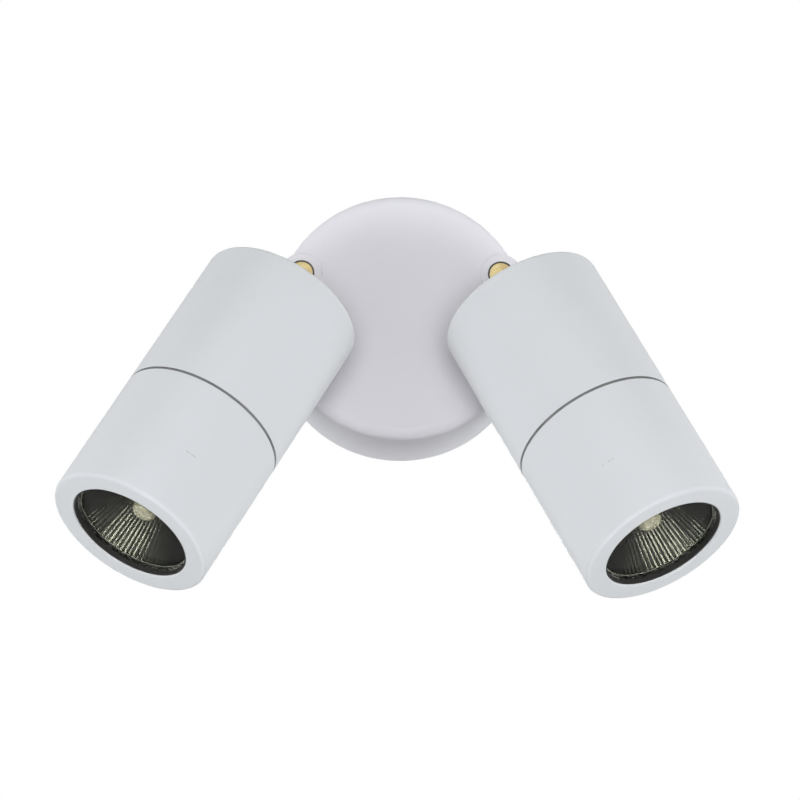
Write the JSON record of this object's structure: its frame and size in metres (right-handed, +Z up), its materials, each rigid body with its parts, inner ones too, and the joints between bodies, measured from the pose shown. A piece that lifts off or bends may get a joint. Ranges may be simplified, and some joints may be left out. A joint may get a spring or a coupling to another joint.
{
  "type": "pivoting spotlight wall light",
  "caption": "Wall light with a round canopy and cylindrical reflector-lamp spotlights on brass swivels that pan and tilt.",
  "frame": {"origin": "centre of the canopy's back plane, on the wall", "axes": "+X to the right as seen from the front, +Y into the wall, +Z up"},
  "size_m": [0.2536, 0.1318, 0.173],
  "materials": {
    "white_paint": "white powder coat, fine texture, satin",
    "zinc_steel": "bright zinc plate",
    "brass": "turned, lightly polished",
    "black_rubber": "matt black",
    "joint_rubber": "dark grey, matt",
    "black_nylon": "black, matt",
    "terminal_nylon": "natural nylon, translucent white",
    "lead_sleeve": "off-white heat-resistant sleeve",
    "core_insulation": "coloured core insulation",
    "reflector": "faceted, aluminium-coated glass",
    "lamp_glass": "clear, polished",
    "lamp_ceramic": "unglazed, off-white"
  },
  "bodies": {
    "root": {"canopy": "white_paint", "mounting_bracket": "zinc_steel", "canopy_grub_screws": "zinc_steel", "cable_grommet": "black_rubber", "terminal_block": "terminal_nylon", "terminal_inserts": "brass", "terminal_screws": "zinc_steel", "terminal_fixing_screws": "zinc_steel", "earth_terminal": "zinc_steel", "pan_bushes": "black_nylon", "canopy_lead_sleeves": "lead_sleeve", "canopy_lead_cores": "core_insulation"},
    "left_swivel": {"left_pan_wave_washer": "zinc_steel", "left_pan_lock_nut": "brass", "left_knuckle_base": "brass", "left_swivel_lead": "lead_sleeve", "left_friction_ring": "black_nylon", "left_spring_washer": "zinc_steel", "left_pivot_nut": "zinc_steel", "left_pivot_screw": "zinc_steel"},
    "left_head": {"left_knuckle_head": "brass", "left_stem_washer": "zinc_steel", "left_stem_nut": "brass", "left_rear_body": "white_paint", "left_front_barrel": "white_paint", "left_joint_ring": "joint_rubber", "left_lamp_reflector": "reflector", "left_lamp_glass": "lamp_glass", "left_lamp_capsule": "lamp_glass", "left_lamp_base": "lamp_ceramic", "left_lamp_pins": "zinc_steel", "left_lamp_gasket": "black_rubber", "left_lampholder": "lamp_ceramic", "left_lamp_carrier": "zinc_steel", "left_holder_screws": "zinc_steel", "left_head_lead": "lead_sleeve"},
    "right_swivel": {"right_pan_wave_washer": "zinc_steel", "right_pan_lock_nut": "brass", "right_knuckle_base": "brass", "right_swivel_lead": "lead_sleeve", "right_friction_ring": "black_nylon", "right_spring_washer": "zinc_steel", "right_pivot_nut": "zinc_steel", "right_pivot_screw": "zinc_steel"},
    "right_head": {"right_knuckle_head": "brass", "right_stem_washer": "zinc_steel", "right_stem_nut": "brass", "right_rear_body": "white_paint", "right_front_barrel": "white_paint", "right_joint_ring": "joint_rubber", "right_lamp_reflector": "reflector", "right_lamp_glass": "lamp_glass", "right_lamp_capsule": "lamp_glass", "right_lamp_base": "lamp_ceramic", "right_lamp_pins": "zinc_steel", "right_lamp_gasket": "black_rubber", "right_lampholder": "lamp_ceramic", "right_lamp_carrier": "zinc_steel", "right_holder_screws": "zinc_steel", "right_head_lead": "lead_sleeve"}
  },
  "joints": [
    {"name": "left_pan", "type": "hinge", "parent": "root", "child": "left_swivel", "pos_m": [-0.0389, -0.0335, 0.0168], "axis": [0, 1, 0], "range_deg": [-29.5, 150.5]},
    {"name": "left_tilt", "type": "hinge", "parent": "left_swivel", "child": "left_head", "pos_m": [-0.04702, -0.0425, 0.00244], "axis": [-0.8704, 0, 0.4924], "range_deg": [-4.5, 72.5]},
    {"name": "right_pan", "type": "hinge", "parent": "root", "child": "right_swivel", "pos_m": [0.0389, -0.0335, 0.0168], "axis": [0, -1, 0], "range_deg": [-26.5, 153.5]},
    {"name": "right_tilt", "type": "hinge", "parent": "right_swivel", "child": "right_head", "pos_m": [0.04626, -0.0425, 0.00203], "axis": [-0.8949, 0, -0.4462], "range_deg": [-4.5, 72.5]}
  ]
}
